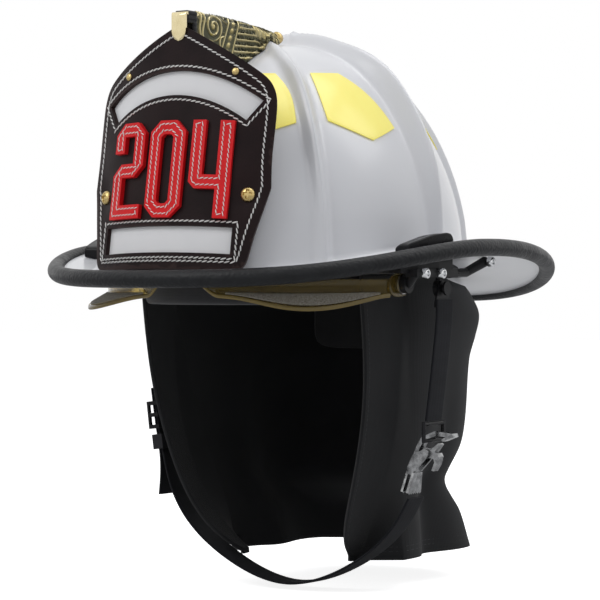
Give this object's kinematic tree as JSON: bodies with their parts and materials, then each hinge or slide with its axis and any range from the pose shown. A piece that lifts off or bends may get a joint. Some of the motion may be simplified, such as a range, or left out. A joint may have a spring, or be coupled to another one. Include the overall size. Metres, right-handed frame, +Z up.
{
  "type": "traditional fire helmet",
  "caption": "Ribbed fire helmet with a wide brim, a peaked leather front on a brass crown holder, retractable eye shield, neck curtain, chinstrap with quick clasp and ratchet headband.",
  "frame": {"origin": "Middle of the dome in plan, on the height where the dome meets the brim at its mean; the wearer's head comes up to it from below.", "axes": "+Z up towards the crown, -Y to the front of the helmet, +X to the wearer's left."},
  "size_m": [0.2996, 0.3956, 0.3668],
  "materials": {
    "shell_white": "moulded gloss shell",
    "bead_rubber": "extruded rubber bead",
    "reflective_lime": "retroreflective film",
    "leather_dark": "finished leather",
    "leather_back": "plain leather",
    "banner_white": "painted leather",
    "brass_bright": "polished",
    "brass_aged": "cast and antiqued",
    "black_rubber": "moulded",
    "black_plastic": "moulded",
    "screw_chrome": "polished",
    "shield_amber": "clear tinted",
    "plated_steel": "plated",
    "liner_foam": "moulded foam",
    "webbing_black": "woven webbing",
    "pad_grey": "padded cloth",
    "curtain_black": "quilted cloth",
    "clasp_metal": "cast and tumbled"
  },
  "bodies": {
    "shell": {"outer_shell": "shell_white", "edge_trim": "bead_rubber", "reflective_patches": "reflective_lime", "leather_front": "leather_dark", "leather_backing": "leather_back", "arch_banner": "banner_white", "lower_banner": "banner_white", "front_screws": "brass_bright", "front_rivets": "brass_bright", "front_spacers": "black_plastic", "crown_holder": "brass_aged", "holder_tongue": "brass_bright", "holder_finial": "brass_bright", "holder_bumper": "black_rubber", "side_block_left": "black_plastic", "side_block_right": "black_plastic", "side_bracket_left": "black_plastic", "side_bracket_right": "black_plastic", "bracket_screws": "screw_chrome", "shield_washers": "plated_steel", "impact_liner": "liner_foam", "crown_straps": "webbing_black", "strap_keys": "black_plastic", "headband": "black_plastic", "brow_pad": "pad_grey", "ratchet_housing": "black_plastic", "nape_pad": "pad_grey", "ear_curtain": "curtain_black", "ring_clip": "plated_steel", "clip_rivets": "plated_steel"},
    "shield": {"eye_shield": "shield_amber"},
    "knob": {"ratchet_knob": "black_plastic"},
    "band_left": {"band_end_left": "black_plastic"},
    "band_right": {"band_end_right": "black_plastic"},
    "chinstrap": {"strap_upper": "webbing_black", "strap_ring": "black_plastic", "strap_chin": "webbing_black", "strap_tail": "webbing_black", "anchor_plates": "plated_steel", "ladder_slide": "plated_steel", "strap_keeper": "black_rubber", "quick_clasp": "clasp_metal"},
    "latch": {"clasp_latch": "clasp_metal"},
    "ring": {"hang_ring": "plated_steel"}
  },
  "joints": [
    {"name": "shield_swing", "type": "hinge", "parent": "shell", "child": "shield", "pos_m": [0, -0.034, -0.009], "axis": [1, 0, 0], "range_deg": [0, 45]},
    {"name": "knob_turn", "type": "hinge", "parent": "shell", "child": "knob", "pos_m": [0, 0.108, -0.03], "axis": [0, 1, 0], "range_deg": [0, 90]},
    {"name": "band_left_slide", "type": "slide", "parent": "shell", "child": "band_left", "axis": [-1, 0, 0], "range_m": [0, 0.0095]},
    {"name": "band_right_slide", "type": "slide", "parent": "shell", "child": "band_right", "axis": [1, 0, 0], "range_m": [0, 0.0095]},
    {"name": "strap_swing", "type": "hinge", "parent": "shell", "child": "chinstrap", "pos_m": [0, 0.007, -0.012], "axis": [1, 0, 0], "range_deg": [-60, 0]},
    {"name": "latch_press", "type": "hinge", "parent": "chinstrap", "child": "latch", "pos_m": [0.10355, 0.007, -0.11688], "axis": [0, 1, 0], "range_deg": [0, 25], "stiffness_Nm_per_rad": 0.02},
    {"name": "ring_swing", "type": "hinge", "parent": "shell", "child": "ring", "pos_m": [0, 0.196, -0.02072], "axis": [1, 0, 0], "range_deg": [-60, 60]}
  ],
  "couplings": [
    {"joint": "band_left_slide", "follows": "knob_turn", "m_per_rad": 0.006},
    {"joint": "band_right_slide", "follows": "knob_turn", "m_per_rad": 0.006}
  ]
}
